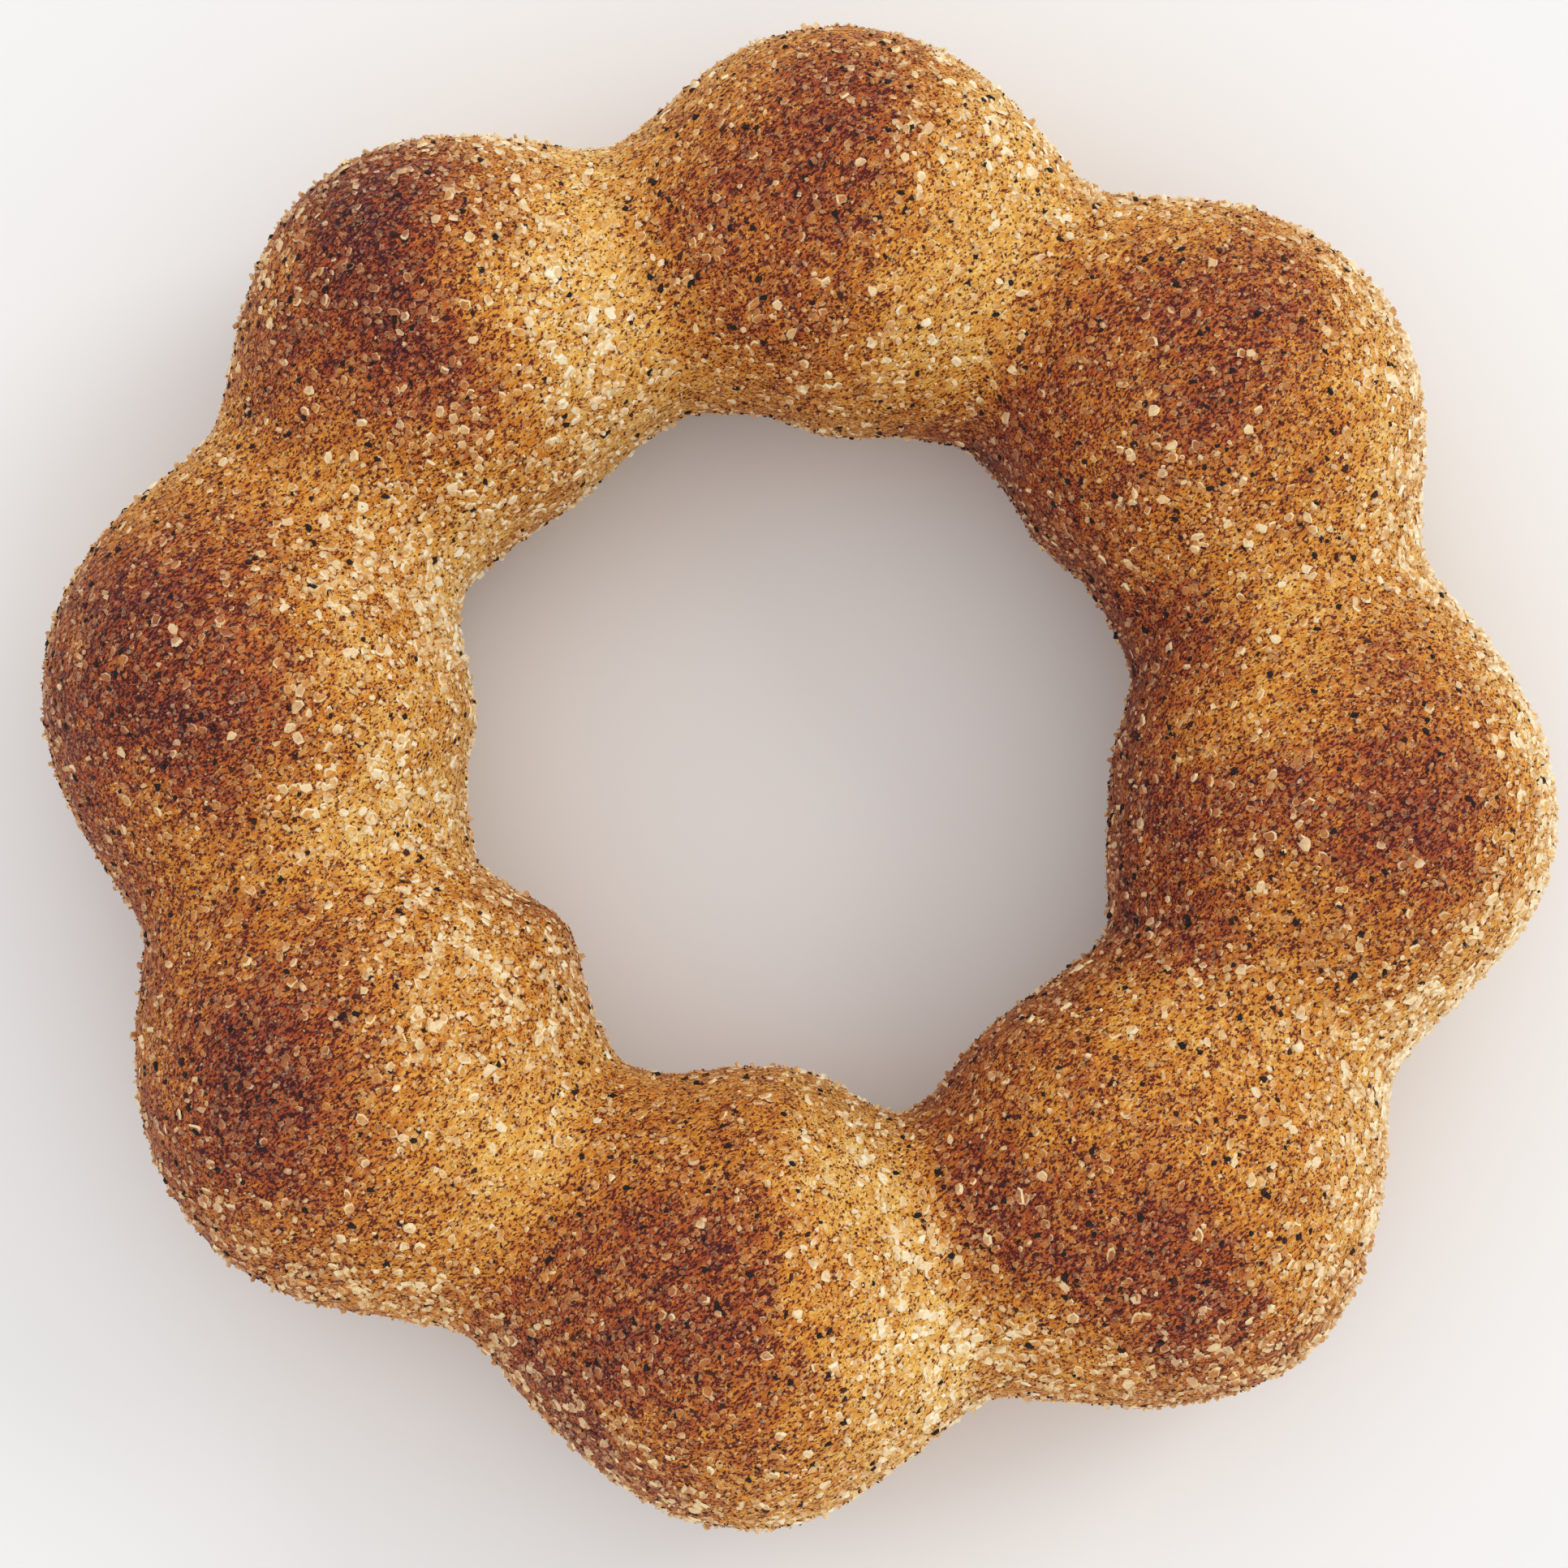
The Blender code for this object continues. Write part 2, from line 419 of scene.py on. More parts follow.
RAGGED_OCTAVES = 3

USUAL_BROWNING = 0.335
MOST_BROWNING = 1.1
NECK_PALENESS = 0.05  # how much paler a neck is than a ball
SIDE_PAINTED_LIGHT = 0.25  # painted light and shade: how much paler a wall facing +X, towards the key light, is than the crown, and how much browner one facing -X is
# Clouds of browning everywhere: strength, size, octaves and seed.
BROWNING_CLOUDS = (
    (0.08, 6.0 * MM, 2, 5.0),
    (0.05, 2.2 * MM, 2, 6.0),
)


def patches_at(patches, points, bearing, around, seed):
    """The sum of soft-edged, ragged patches at each point, on the top and on the underside."""
    degrees = np.degrees(bearing)
    angle = np.degrees(around)
    ragged = RAGGED_SHARE * noise_at(points, RAGGED_SIZE, RAGGED_OCTAVES, seed)
    total = np.zeros(len(points))
    for patch_bearing, patch_angle, along, over, strength in patches:
        for side, shift in ((1.0, 0.0), (-1.0, UNDERSIDE_SHIFT)):
            run = np.radians(turn_between(degrees, patch_bearing + shift)) * RING_RADIUS / along
            rise = np.radians(turn_between(angle, side * patch_angle)) * TUBE_RADIUS / over
            away = np.sqrt(run**2 + rise**2) + ragged
            total += strength * np.exp(-np.maximum(away, 0.0) ** PATCH_FALLOFF / PATCH_REACH)
    return total


def browning_and_shade_at(points, normals, bearing, around, swell):
    """The browning of each point, with painted light paling its sides towards +X and painted shade
    on those towards -X.
    """
    brown = USUAL_BROWNING + patches_at(BROWNING_AND_SHADE_PATCHES, points, bearing, around, seed=1.0)
    # Painted light on walls facing +X, painted shade on walls facing -X.
    brown -= NECK_PALENESS * (1.0 - swell) + SIDE_PAINTED_LIGHT * normals[:, 0]
    brown += layered_noise(points, BROWNING_CLOUDS)
    return np.clip(brown, 0.0, MOST_BROWNING)


# ---------------------------------------------------------------------------------------------
# The crust
# ---------------------------------------------------------------------------------------------

STATIONS = 480  # sections round the ring
SECTION_POINTS = 142  # points round each section
CRUST_LIFT = 0.02 * MM  # the crust's lowest points lie this far above the table
# The crust's relief: height in millimetres, then bump size, octaves and seed.
RELIEF = (
    (0.10, 3.2 * MM, 2, 2.0),
    (0.11, 1.1 * MM, 2, 3.0),
)


def ring_grid():
    """The bearing and tube angle of each of the crust's points, and the faces between them."""
    ring = np.arange(STATIONS) / STATIONS * 2.0 * np.pi
    tube = np.arange(SECTION_POINTS) / SECTION_POINTS * 2.0 * np.pi
    bearing, around = (grid.ravel() for grid in np.meshgrid(ring, tube, indexing="ij"))
    place = np.arange(STATIONS * SECTION_POINTS).reshape(STATIONS, SECTION_POINTS)
    ahead = np.roll(place, -1, axis=0)
    faces = np.stack([place, ahead, np.roll(ahead, -1, axis=1), np.roll(place, -1, axis=1)], -1)
    return bearing, around, faces.reshape(-1, 4)


def crust_piece():
    """The fried crust, a fine closed ring with the dough's relief, its browning with painted shade
    and light, and its sugar.
    """
    bearing, around, faces = ring_grid()
    points = centred(dough_surface(bearing, around))
    crust = mesh_piece("fried_crust", points, faces, smooth=True)
    normals = normals_of(crust.data)
    raised = points + normals * (layered_noise(points, RELIEF) * MM - COATING)[:, None]
    raised[:, 2] = np.maximum(raised[:, 2], CRUST_LIFT)
    crust.data.vertices.foreach_set("co", raised.astype(np.float32).ravel())
    crust.data.update()
    swell = sizes_at(bearing)[3]
    brown = browning_and_shade_at(points, normals, bearing, around, swell)
    paint(crust, "browning", brown)
    return crust, brown, patches_at(SUGAR_DRIFTS, points, bearing, around, seed=8.0)


# ---------------------------------------------------------------------------------------------
# The coating: sugar crystals, sugar grains and cinnamon, each a real small mesh on the crust
# ---------------------------------------------------------------------------------------------

STRETCH = (0.8, 1.3)  # a grain's length over its usual width, least and most
SIZE_BIAS = 1.3  # above 1 there are more small grains than large ones
LEAN_BIAS = 0.7  # below 1 more grains lean far over than lie flat
GRAIN_LIFT = 0.01 * MM  # the lowest grains lie this far above the table


def crystal_shape(corners, top):
    """Points and triangles of a worn crystal, each face's painted reflection and each point's
    corner.

    Its flat top, this share of its width, shows the crust through it. Its sloping rim is painted
    pale, as the reflection a clear crystal's edges catch.
    """
    turns = np.arange(corners) / corners * 2.0 * np.pi
    outline = np.stack([np.cos(turns), np.sin(turns)], axis=1) / 2.0
    points = [(x, y, -0.5) for x, y in outline]
    points += [(x * top, y * top, 0.5) for x, y in outline]
    faces, rim = [], []
    for corner in range(corners):
        after = (corner + 1) % corners
        faces += [(corner, after, corners + after), (corner, corners + after, corners + corner)]
        rim += [1.0, 1.0]
    for corner in range(1, corners - 1):
        faces += [(corners, corners + corner, corners + corner + 1), (0, corner + 1, corner)]
        rim += [0.0, 1.0]
    return np.array(points), np.array(faces), np.array(rim), np.tile(np.arange(corners), 2)


def shard_shape():
    """The same for a splinter, a double pyramid with six corners."""
    points = np.array(
        [(0.5, 0, 0), (0, 0.5, 0), (-0.5, 0, 0), (0, -0.5, 0), (0, 0, 0.5), (0, 0, -0.5)]
    )
    faces = [(c, (c + 1) % 4, 4) for c in range(4)] + [((c + 1) % 4, c, 5) for c in range(4)]
    return points, np.array(faces), np.full(len(faces), 0.5), np.arange(len(points))


class Ground:
    """The crust's triangles, to scatter grains on.

    brown is the browning, with its painted shade and light, of each point; the browning and sugar of
    each triangle are kept too.
    """

    def __init__(self, crust, brown, sugar):
        mesh = crust.data
        points = np.empty(len(mesh.vertices) * 3, dtype=np.float32)
        mesh.vertices.foreach_get("co", points)
        self.points = points.reshape(-1, 3).astype(float)
        self.normals = normals_of(mesh)
        corners = np.empty(len(mesh.loops), dtype=np.int32)
        mesh.loops.foreach_get("vertex_index", corners)
        quads = corners.reshape(-1, 4)
        self.triangles = np.concatenate([quads[:, [0, 1, 2]], quads[:, [0, 2, 3]]])
        a, b, c = (self.points[self.triangles[:, k]] for k in range(3))
        self.areas = np.linalg.norm(np.cross(b - a, c - a), axis=1) / 2.0
        self.middles = (a + b + c) / 3.0
        self.brown = brown
        self.face_browning_and_shade = brown[self.triangles[:, 0]]
        self.sugar = sugar[self.triangles[:, 0]]

    def scatter(self, random, count, liking):
        """Random places on the crust, thicker where the liking is higher."""
        weights = self.areas * liking
        faces = random.choice(len(weights), count, p=weights / weights.sum())
        u, v = random.random((2, count))
        over = u + v > 1.0
        u, v = np.where(over, 1.0 - u, u), np.where(over, 1.0 - v, v)
        shares = np.stack([1.0 - u - v, u, v], axis=1)
        corners = self.triangles[faces]
        places = np.einsum("nk,nkd->nd", shares, self.points[corners])
        normals = np.einsum("nk,nkd->nd", shares, self.normals[corners])
        normals /= np.linalg.norm(normals, axis=1, keepdims=True)
        return places, normals, np.einsum("nk,nk->n", shares, self.brown[corners])


def grain_axes(random, normals, tilt):
    """For each grain three axes: the last leans off the normal by up to the tilt in degrees."""
    count = len(normals)
    lean = np.radians(tilt) * random.random(count) ** LEAN_BIAS
    side = random.normal(size=(count, 3))
    side -= normals * np.einsum("nd,nd->n", side, normals)[:, None]
    side /= np.linalg.norm(side, axis=1, keepdims=True)
    up = normals * np.cos(lean)[:, None] + side * np.sin(lean)[:, None]
    across = random.normal(size=(count, 3))
    across -= up * np.einsum("nd,nd->n", across, up)[:, None]
    across /= np.linalg.norm(across, axis=1, keepdims=True)
    return across, np.cross(up, across), up


def grains_piece(name, ground, shape, count, sizes, flatness, tilt, wear, sunk, liking, seed):
    """One piece of many small grains lying on the crust.

    sizes is the smallest and largest width in millimetres, flatness the range of height over
    width, wear how far the corners are moved at random, as a share of the width, and sunk how
    deep the grain's underside lies in the crust, as a share of its height.
    """
    random = np.random.default_rng(seed)
    template, triangles, rim, columns = shape
    places, normals, brown = ground.scatter(random, count, liking)
    width = (sizes[0] + (sizes[1] - sizes[0]) * random.random(count) ** SIZE_BIAS) * MM
    stretch = random.uniform(*STRETCH, count)
    height = width * random.uniform(*flatness, count)
    scale = np.stack([width * stretch, width / stretch, height], axis=1)
    worn = random.uniform(-wear, wear, (count, columns.max() + 1, 3))
    corners = (template[None] + worn[:, columns]) * scale[:, None, :]
    axes = np.stack(grain_axes(random, normals, tilt), axis=1)
    points = np.einsum("nvk,nkd->nvd", corners, axes)
    points += (places + normals * (height * (0.5 - sunk))[:, None])[:, None, :]
    points[..., 2] = np.maximum(points[..., 2], GRAIN_LIFT)
    starts = np.arange(count)[:, None, None] * len(template)
    faces = (starts + triangles[None]).reshape(-1, 3)
    piece = mesh_piece(name, points.reshape(-1, 3), faces, smooth=False)
    paint(piece, "browning", np.repeat(brown, len(template)))
    paint(piece, "chance", np.repeat(random.random(count), len(template)))
    paint(piece, "rim", np.tile(rim, count), "FACE")
    return piece


# ---------------------------------------------------------------------------------------------
# Materials
# ---------------------------------------------------------------------------------------------

# The mottling runs in short streaks that slant across the ring.
STREAK_TURN = (0.0, 0.0, math.radians(40.0))
STREAK_SCALE = (1.5, 0.85, 1.0)
CELL_UNEVENNESS = 0.8  # how far cells are pushed out of shape, as a share of their size


class Value:
    """A number that varies over a surface: arithmetic on it adds Math nodes to its material."""

    def __init__(self, finish, socket):
        self.finish = finish
        self.socket = socket

    def math(self, operation, first, second):
        """The result of one Math node."""
        return self.finish.node("ShaderNodeMath", {"operation": operation}, {0: first, 1: second})

    def __add__(self, other):
        return self.math("ADD", self, other)

    __radd__ = __add__

    def __mul__(self, other):
        return self.math("MULTIPLY", self, other)

    __rmul__ = __mul__

    def __sub__(self, other):
        return self.math("SUBTRACT", self, other)

    def __rsub__(self, other):
        return self.math("SUBTRACT", other, self)

    def step(self, low, high):
        """0 below low, 1 above high, and a smooth rise between them."""
        inputs = {"Value": self, "From Min": low, "From Max": high}
        return self.finish.node("ShaderNodeMapRange", {"interpolation_type": "SMOOTHSTEP"}, inputs)

    def inside(self, low, high):
        """1 below low, 0 above high, and a smooth fall between them."""
        return 1.0 - self.step(low, high)


class Finish:
    """A material under construction: one Principled shader and the nodes that feed it."""

    def __init__(self, name, roughness, **constants):
        self.material = bpy.data.materials.new(name)
        self.material.use_nodes = True
        self.tree = self.material.node_tree
        self.shader = self.tree.nodes["Principled BSDF"]
        self.shader.inputs["Roughness"].default_value = roughness
        for socket, value in constants.items():
            self.shader.inputs[socket.replace("_", " ")].default_value = value

    def node(self, kind, settings=None, inputs=None, output=0):
        """Adds a node: its settings first, then its sockets, as values or links."""
        made = self.tree.nodes.new(kind)
        for key, value in (settings or {}).items():
            if key == "stops":
                self.set_stops(made.color_ramp.elements, value)
            else:
                setattr(made, key, value)
        for key, value in (inputs or {}).items():
            self.feed(made.inputs[key], value)
        return Value(self, made.outputs[output])

    def feed(self, socket, value):
        """Sets a socket to a value, or links it to one that varies."""
        if isinstance(value, Value):
            self.tree.links.new(value.socket, socket)
        else:
            socket.default_value = value

    def set_stops(self, elements, stops):
        """Gives a colour ramp its stops, each a place and a colour."""
        while len(elements) < len(stops):
            elements.new(1.0)
        for element, (place, colour) in zip(elements, stops):
            element.position = place
            element.color = colour

    def drive(self, socket, value):
        """Links a varying value to one of the shader's own sockets."""
        self.feed(self.shader.inputs[socket], value)

    def painted(self, name):
        """A number stored on the mesh."""
        return self.node("ShaderNodeAttribute", {"attribute_name": name}, output="Fac")

    def place(self):
        """Where the surface is, in the doughnut's own metres."""
        return self.node("ShaderNodeTexCoord", output="Object")

    def streaked(self):
        """The surface's place, stretched so that patterns run in short slanting streaks."""
        inputs = {"Vector": self.place(), "Rotation": STREAK_TURN, "Scale": STREAK_SCALE}
        return self.node("ShaderNodeMapping", {"vector_type": "TEXTURE"}, inputs)

    def noise(self, size, detail=2.0, roughness=0.55, shift=0.0, distortion=0.0):
        """Cloudy noise from 0 to 1 with patches of about this size in metres."""
        inputs = {
            "Vector": self.streaked(),
            "W": shift,
            "Scale": 1.0 / size,
            "Detail": detail,
            "Roughness": roughness,
            "Distortion": distortion,
        }
        return self.node("ShaderNodeTexNoise", {"noise_dimensions": "4D"}, inputs)

    def vector(self, operation, inputs):
        """The result of one Vector Math node."""
        return self.node("ShaderNodeVectorMath", {"operation": operation}, inputs)

    def warped(self, reach):
        """The surface's place, pushed about by up to half of this reach, to make cells uneven."""
        clouds = {"Vector": self.place(), "Scale": 0.5 / reach, "Detail": 1.0}
        cloud = self.node("ShaderNodeTexNoise", None, clouds, "Color")
        centred_cloud = self.vector("SUBTRACT", {0: cloud, 1: (0.5, 0.5, 0.5)})
        push = self.vector("SCALE", {0: centred_cloud, "Scale": reach})
        return self.vector("ADD", {0: self.place(), 1: push})

    def cells(self, size):
        """Uneven cells of about this size: how far each place is from its cell's middle, as a
        share of the size."""
        inputs = {"Vector": self.warped(size * CELL_UNEVENNESS), "Scale": 1.0 / size}
        return self.node("ShaderNodeTexVoronoi", None, inputs, "Distance")

    def chance_of(self, cells):
        """A random number for each of these cells."""
        tint = Value(self, cells.socket.node.outputs["Color"])
        return self.node("ShaderNodeSeparateColor", None, {"Color": tint}, "Red")

    def ramp(self, value, stops):
        """A colour that follows a value through the stops."""
        return self.node("ShaderNodeValToRGB", {"stops": stops}, {"Fac": value}, "Color")

    def mix(self, share, first, second):
        """Two colours mixed: none of the second at share 0, all of it at share 1."""
        settings = {"data_type": "RGBA", "clamp_factor": True}
        return self.node("ShaderNodeMix", settings, {0: share, 6: first, 7: second}, 2)

    def bump(self, height, distance, strength):
        """Links a height pattern to the shader as relief of this depth in metres."""
        inputs = {"Height": height, "Distance": distance, "Strength": strength}
        self.drive("Normal", self.node("ShaderNodeBump", None, inputs, "Normal"))


def srgb(red, green, blue):
    """A colour given as it looks on screen, 0 to 255, as the linear numbers a shader needs."""
    shares = [channel / 255.0 for channel in (red, green, blue)]
    linear = [s / 12.92 if s <= 0.04045 else ((s + 0.055) / 1.055) ** 2.4 for s in shares]
    return (*linear, 1.0)


# The crust's tones at each browning, painted shade included: the dough itself, its dark grit and its
# pale grit.
DOUGH_STOPS = (
    (0.0, srgb(234, 176, 76)),
    (0.35, srgb(209, 130, 44)),
    (0.7, srgb(170, 79, 40)),
    (1.0, srgb(130, 57, 44)),
)
GRIT_STOPS = (
    (0.0, srgb(124, 46, 22)),
    (0.5, srgb(94, 34, 26)),
    (1.0, srgb(54, 22, 30)),
)
GLINT_STOPS = (
    (0.0, srgb(250, 214, 134)),
    (0.35, srgb(236, 172, 76)),
    (0.7, srgb(206, 118, 54)),
    (1.0, srgb(174, 94, 54)),
)
# What shows through a sugar crystal, and the crystal's own paleness, at each browning, painted shade
# included.
THROUGH_STOPS = (
    (0.0, srgb(240, 192, 100)),
    (0.5, srgb(206, 144, 66)),
    (1.0, srgb(160, 98, 56)),
)
SUGAR_STOPS = (
    (0.0, srgb(255, 250, 224)),
    (0.5, srgb(252, 230, 178)),
    (1.0, srgb(236, 206, 168)),
)

# The mottling's sizes, and the noise levels between which pale and dark grit set in.
CLOUD_SIZE = 0.8 * MM
PALE_GRIT_SIZE = 0.30 * MM
PALE_GRIT_LEVELS = (0.44, 0.62)
PALE_GRIT_LOSS = 0.05  # how much rarer browning, painted shade included, makes the pale grit
DARK_GRIT_SIZE = 0.17 * MM
DARK_GRIT_LEVELS = (0.54, 0.61)
DARK_GRIT_GAIN = 0.10  # how much commoner browning, painted shade included, makes the dark grit

# Crystals that melted into the crust, one to a cell: where the middle and the rim end, from the
# cell's middle, as shares of its size, and how strongly each covers the crust; the rim's pale ring
# is painted reflection.
MELTED_SIZE = 0.46 * MM
MELTED_CHANCE = (0.30, 0.40)  # cells with a lower random number than these have no crystal
MELTED_MIDDLE = (0.22, 0.30)
MELTED_MIDDLE_SHARE = 0.4
MELTED_RIM = (0.36, 0.44)
MELTED_RIM_REFLECTION = 0.3
MELTED_RELIEF = 0.4  # how far a crystal's middle stands out, beside the grit's own relief
GLINT_LEVELS = (0.4, 0.6)  # the rim catches light only where the pale grit's noise is above these

# Cinnamon too fine to be a mesh, one speck to a cell, with the same values.
SPECK_SIZE = 0.55 * MM
SPECK_EDGE = (0.16, 0.22)
SPECK_SHARE = 0.9
SPECK_COLOUR = srgb(82, 30, 34)

CRUST_BUMP = 0.10 * MM
CRUST_BUMP_STRENGTH = 0.8

GRIT_THROUGH = 0.5  # share of the dark grit that still shows under a sugar crystal
CRYSTAL_TINT = 0.4  # share of the crystal's own tone in what shows through it
BROWNING_AND_SHADE_CLEARS = 0.4  # how much clearer sugar looks over the darkest crust, browned and painted in shade alike
CLOUD_UNEVENNESS = 0.8  # how unevenly a crystal is clouded

CINNAMON_STOPS = ((0.0, srgb(70, 28, 20)), (0.5, srgb(110, 50, 26)), (1.0, srgb(160, 86, 40)))
DARK_STOPS = ((0.0, srgb(22, 20, 24)), (0.7, srgb(40, 24, 24)), (1.0, srgb(78, 34, 26)))

FLOOR_CLOUD_SIZE = 0.08
FLOOR_CLOUD_SHARE = 0.3
FLOOR_TONES = ((0.93, 0.93, 0.93, 1.0), (0.9, 0.9, 0.9, 1.0))


def mottled_dough(made, grit_share):
    """The crust's colour with its pale and dark grit, its browning with painted shade, and the noise
    of both grits.
    """
    brown = made.painted("browning") + (made.noise(CLOUD_SIZE, detail=3.0) - 0.5)
    grit = made.noise(DARK_GRIT_SIZE, detail=2.0, roughness=0.6, shift=2.0, distortion=0.5)
    glints = made.noise(PALE_GRIT_SIZE, detail=3.0, roughness=0.65, shift=9.0, distortion=0.5)
    pale = (glints - brown * PALE_GRIT_LOSS).step(*PALE_GRIT_LEVELS)
    dark = (grit + brown * DARK_GRIT_GAIN).step(*DARK_GRIT_LEVELS) * grit_share
    colour = made.mix(pale, made.ramp(brown, DOUGH_STOPS), made.ramp(brown, GLINT_STOPS))
    return made.mix(dark, colour, made.ramp(brown, GRIT_STOPS)), brown, grit, glints


def crust_finish():
    """Fried crust, mottled all over with the finest cinnamon and sugar, the melted sugar's rims
    painted pale as reflection.
    """
    made = Finish("fried_crust", roughness=0.6, Specular_IOR_Level=0.15)
    colour, brown, grit, glints = mottled_dough(made, grit_share=1.0)
    crystals = made.cells(MELTED_SIZE)
    melted = made.chance_of(crystals).step(*MELTED_CHANCE)
    middle = crystals.inside(*MELTED_MIDDLE) * melted
    # A melted crystal's rim: a pale ring of painted reflection, where the pale grit's noise is high.
    rim = (crystals.inside(*MELTED_RIM) * melted - middle) * glints.step(*GLINT_LEVELS)
    colour = made.mix(middle * MELTED_MIDDLE_SHARE, colour, made.ramp(brown, THROUGH_STOPS))
    colour = made.mix(rim * MELTED_RIM_REFLECTION, colour, made.ramp(brown, SUGAR_STOPS))
    specks = made.cells(SPECK_SIZE).inside(*SPECK_EDGE) * SPECK_SHARE
    colour = made.mix(specks, colour, SPECK_COLOUR)
    made.drive("Base Color", colour)
    made.bump(glints - grit + middle * MELTED_RELIEF, CRUST_BUMP, CRUST_BUMP_STRENGTH)
    return made.material


def sugar_finish(name, roughness, rim_reflection_share, clouding):
    """Sugar: the crust shows through its middle, its rim is painted pale as a reflection, and some
    of it is clouded.

    The rim share is how much paler the painted reflection makes the rim, and clouding how pale the
    clearest and the most clouded grains are, where below 0 even a pale rim stays partly clear.
    """
    made = Finish(name, roughness, Specular_IOR_Level=0.3)
    behind, brown, _, glints = mottled_dough(made, GRIT_THROUGH)
    through = made.mix(CRYSTAL_TINT, behind, made.ramp(brown, THROUGH_STOPS))
    clearest, cloudiest = clouding
    clouded = made.painted("chance") * (cloudiest - clearest) + clearest - brown * BROWNING_AND_SHADE_CLEARS
    # The rim's paleness is painted reflection; the clouding is the sugar's own whiteness.
    share = made.painted("rim") * rim_reflection_share + clouded + (glints - 0.5) * CLOUD_UNEVENNESS
    made.drive("Base Color", made.mix(share, through, made.ramp(brown, SUGAR_STOPS)))
    return made.material


def speck_finish(name, stops):
    """Specks of cinnamon and of burnt sugar, each with its own tone from the stops."""
    made = Finish(name, roughness=0.75, Specular_IOR_Level=0.3)
    made.drive("Base Color", made.ramp(made.painted("chance"), stops))
    return made.material


def floor_finish():
    """Plain pale floor, very slightly uneven in tone."""
    made = Finish("pale_floor", roughness=0.9, Specular_IOR_Level=0.1)
    cloud = made.noise(FLOOR_CLOUD_SIZE)
    made.drive("Base Color", made.mix(cloud * FLOOR_CLOUD_SHARE, *FLOOR_TONES))
    return made.material


# ---------------------------------------------------------------------------------------------
# Building it
# ---------------------------------------------------------------------------------------------


def add_piece(piece, material):
    """Gives a piece its material, and puts it on the doughnut."""
    piece.data.materials.append(material)
    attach(piece, "root")


# How thickly grains lie. In clumps: as a rule, how much that varies, the clumps' size, and the
# least and most. In drifts: the thinnest coat and the thickest. What a kind of grain adds to
# these, below, makes it lie more evenly.
USUAL_CLUMP = 0.45
CLUMP_SPREAD = 1.5
CLUMP_SIZE = 1.5 * MM
CLUMP_LIMITS = (0.06, 2.5)
THINNEST_COAT = 0.06
THICKEST_COAT = 1.6


def add_sugar(ground, clumps, drifts, even):
    """The sugar: clouded crystals, clear crystals, grains and dust."""
    add_piece(
        grains_piece(
            "clouded_sugar", ground, crystal_shape(corners=7, top=0.72), count=8200,
            sizes=(0.30, 0.80), flatness=(0.16, 0.34), tilt=24.0, wear=0.14, sunk=0.2,
            liking=clumps * drifts, seed=11,
        ),
        sugar_finish("clouded_sugar", roughness=0.45, rim_reflection_share=1.0, clouding=(-0.22, 0.94)),
    )
    add_piece(
        grains_piece(
            "clear_sugar", ground, crystal_shape(corners=6, top=0.78), count=8600,
            sizes=(0.26, 0.66), flatness=(0.10, 0.24), tilt=12.0, wear=0.10, sunk=0.2,
            liking=clumps + 0.5, seed=16,
        ),
        sugar_finish("clear_sugar", roughness=0.3, rim_reflection_share=0.65, clouding=(-0.25, 0.35)),
    )
    add_piece(
        grains_piece(
            "sugar_grains", ground, crystal_shape(corners=5, top=0.7), count=12400,
            sizes=(0.18, 0.42), flatness=(0.6, 1.1), tilt=50.0, wear=0.12, sunk=0.1,
            liking=drifts + 0.20, seed=12,
        ),
        sugar_finish("sugar_grain", roughness=0.4, rim_reflection_share=0.3, clouding=(0.0, 0.7)),
    )
    add_piece(
        grains_piece(
            "sugar_dust", ground, shard_shape(), count=14000,
            sizes=(0.12, 0.26), flatness=(0.6, 1.2), tilt=90.0, wear=0.12, sunk=0.2,
            liking=even, seed=13,
        ),
        sugar_finish("sugar_dust", roughness=0.5, rim_reflection_share=0.3, clouding=(0.15, 0.65)),
    )


def add_cinnamon(ground, clumps, even):
    """The cinnamon: fine dust everywhere, and dark specks that favour browner places, browned and
    painted in shade alike.
    """
    add_piece(
        grains_piece(
            "cinnamon_dust", ground, shard_shape(), count=12000,
            sizes=(0.12, 0.26), flatness=(0.4, 0.9), tilt=50.0, wear=0.16, sunk=0.15,
            liking=even, seed=14,
        ),
        speck_finish("cinnamon_dust", CINNAMON_STOPS),
    )
    add_piece(
        grains_piece(
            "dark_specks", ground, crystal_shape(corners=6, top=0.6), count=4300,
            sizes=(0.18, 0.52), flatness=(0.2, 0.4), tilt=20.0, wear=0.20, sunk=0.2,
            liking=(clumps + 0.2) * (ground.face_browning_and_shade + 0.25), seed=15,
        ),
        speck_finish("dark_speck", DARK_STOPS),
    )


def build_doughnut():
    """The crust and its coating."""
    crust, brown, sugar = crust_piece()
    add_piece(crust, crust_finish())
    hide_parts("doughnut")
    ground = Ground(crust, brown, sugar)
    clouds = noise_at(ground.middles, CLUMP_SIZE, octaves=2, seed=4.0)
    clumps = np.clip(USUAL_CLUMP + CLUMP_SPREAD * clouds, *CLUMP_LIMITS)
    drifts = np.minimum(THINNEST_COAT + ground.sugar, THICKEST_COAT)
    even = np.ones(len(ground.middles))
    add_sugar(ground, clumps, drifts, even)
    add_cinnamon(ground, clumps, even)


# The camera looks down from a little in front, at the middle of the ring.
CAMERA_TILT = 7.0  # degrees from straight down
CAMERA_DISTANCE = 0.24
CAMERA_AIM = (-0.0008, -0.0012, 0.0118)
CAMERA_RANGE = (0.01, 20.0)  # nearest and farthest that it sees
SCALE_THERE = 0.0506 * MM  # metres to a pixel at the camera's aim
IMAGE_SIZE = 1932  # pixels
SENSOR = 36.0  # millimetres

SURROUND_COLOUR = (1.0, 1.0, 1.0, 1.0)
SURROUND_STRENGTH = 0.92
FLOOR_HALF = 1.5


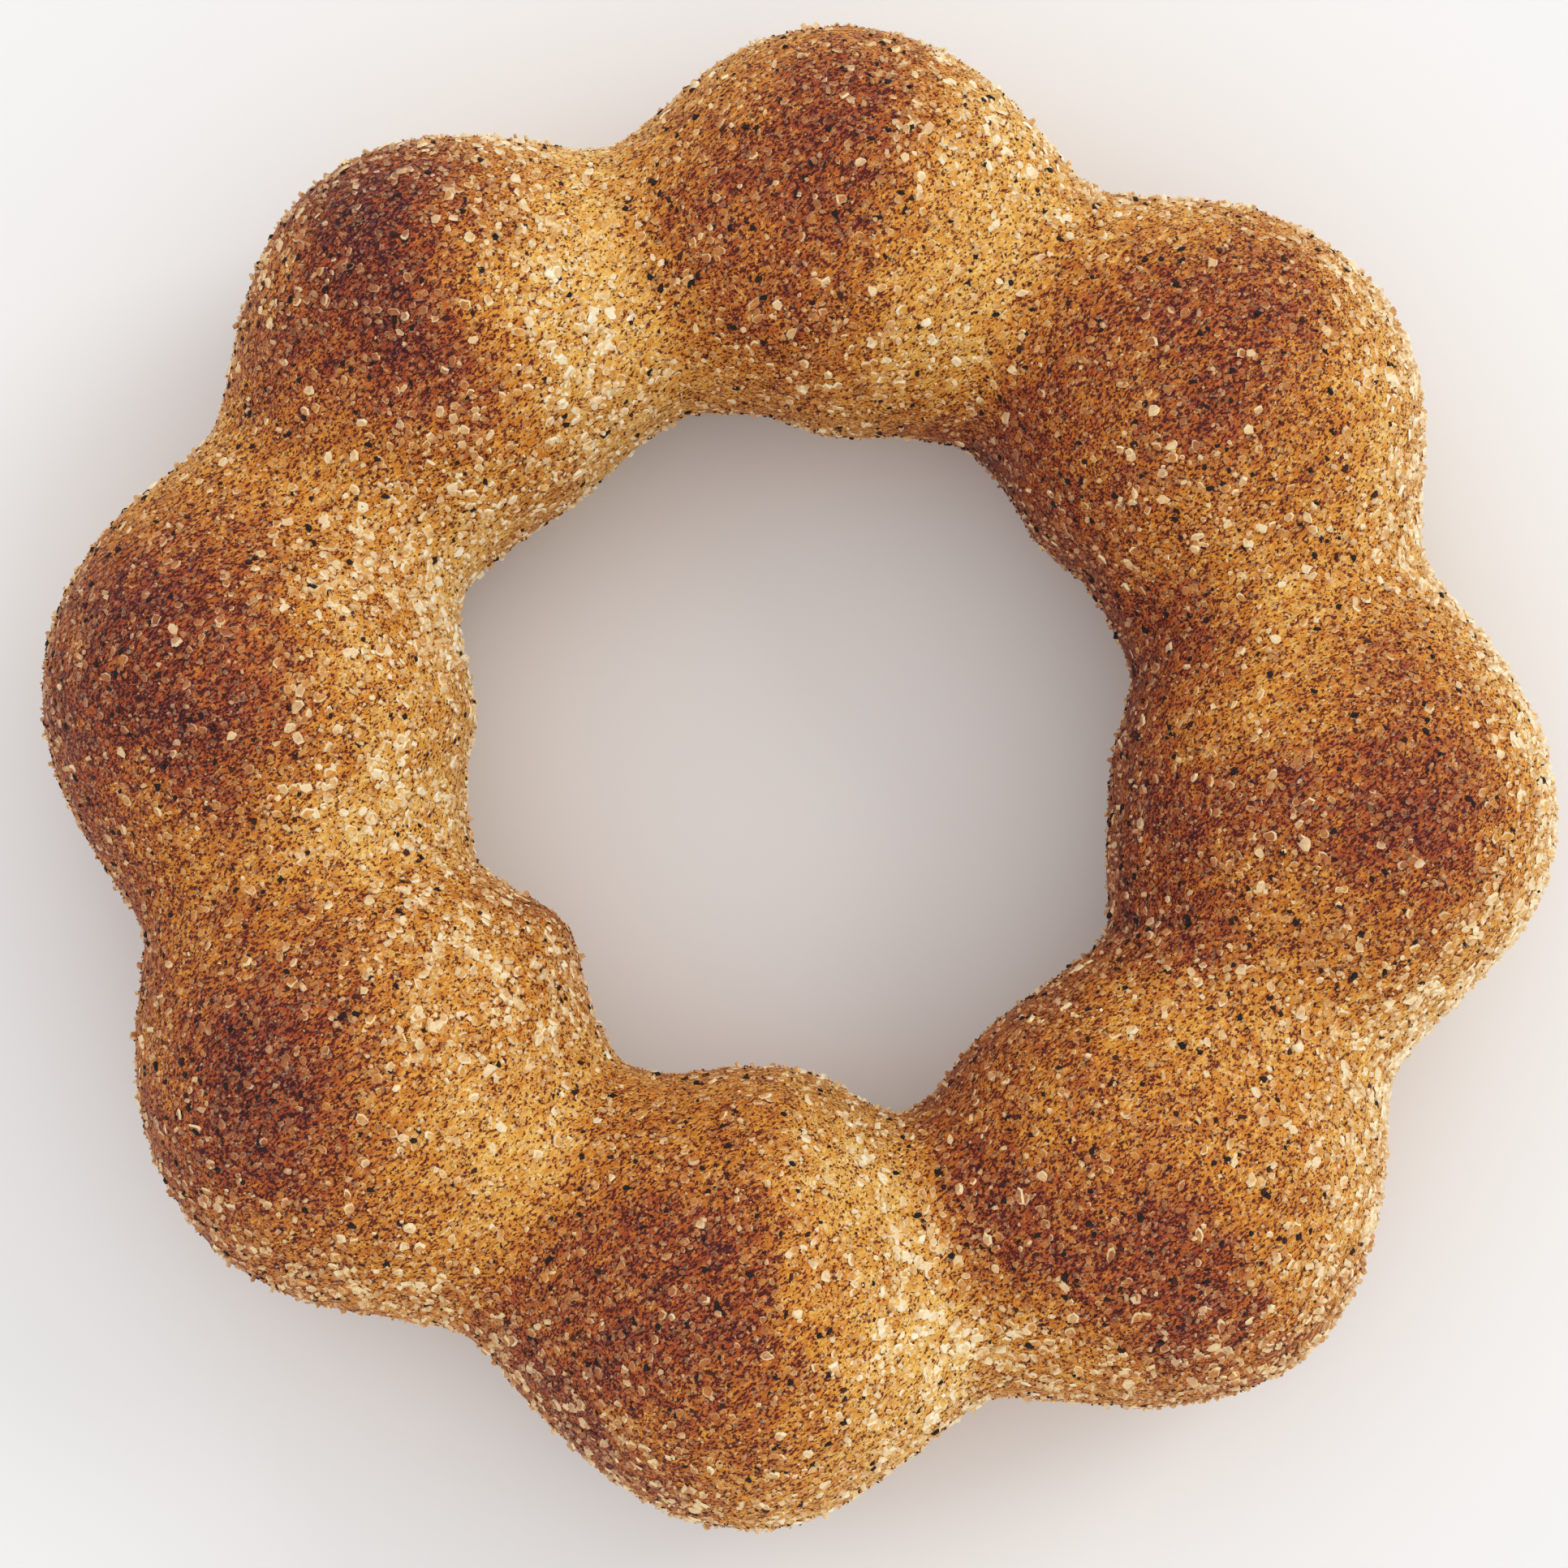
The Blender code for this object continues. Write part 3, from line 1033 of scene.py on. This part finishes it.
def place_camera():
    """The camera at the photograph's viewing angle."""
    data = bpy.data.cameras.new("camera")
    data.sensor_width = SENSOR
    data.lens = SENSOR * CAMERA_DISTANCE / SCALE_THERE / IMAGE_SIZE
    data.clip_start, data.clip_end = CAMERA_RANGE
    camera = bpy.data.objects.new("camera", data)
    bpy.context.scene.collection.objects.link(camera)
    tilt = math.radians(CAMERA_TILT)
    back = Vector((0.0, -math.sin(tilt), math.cos(tilt)))
    camera.location = Vector(CAMERA_AIM) + back * CAMERA_DISTANCE
    camera.rotation_euler = (tilt, 0.0, 0.0)
    bpy.context.scene.camera = camera


def area_light(name, bearing, elevation, distance, size, power, colour):
    """A square soft light aimed at the doughnut."""
    data = bpy.data.lights.new(name, "AREA")
    data.size = size
    data.energy = power
    data.color = colour
    light = bpy.data.objects.new(name, data)
    bpy.context.scene.collection.objects.link(light)
    turn, rise = math.radians(bearing), math.radians(elevation)
    away = Vector(
        (math.cos(turn) * math.cos(rise), math.sin(turn) * math.cos(rise), math.sin(rise))
    )
    light.location = away * distance
    light.rotation_euler = away.to_track_quat("Z", "Y").to_euler()


def light_the_studio():
    """One mild light from the right, and a pale surround that does most of the lighting."""
    area_light(
        "key", bearing=30.0, elevation=35.0, distance=1.5, size=0.6, power=4.4,
        colour=(1.0, 0.98, 0.95),
    )
    world = bpy.data.worlds.new("surround")
    world.use_nodes = True
    background = world.node_tree.nodes["Background"]
    background.inputs["Color"].default_value = SURROUND_COLOUR
    background.inputs["Strength"].default_value = SURROUND_STRENGTH
    bpy.context.scene.world = world
    bpy.context.scene.view_settings.view_transform = "Standard"


def lay_floor():
    """A plain pale floor under the doughnut."""
    sides = ((-1.0, -1.0, 0.0), (1.0, -1.0, 0.0), (1.0, 1.0, 0.0), (-1.0, 1.0, 0.0))
    floor = mesh_piece("floor", np.array(sides) * FLOOR_HALF, np.array([[0, 1, 2, 3]]), smooth=False)
    floor.data.materials.append(floor_finish())


build_doughnut()
place_camera()
light_the_studio()
lay_floor()
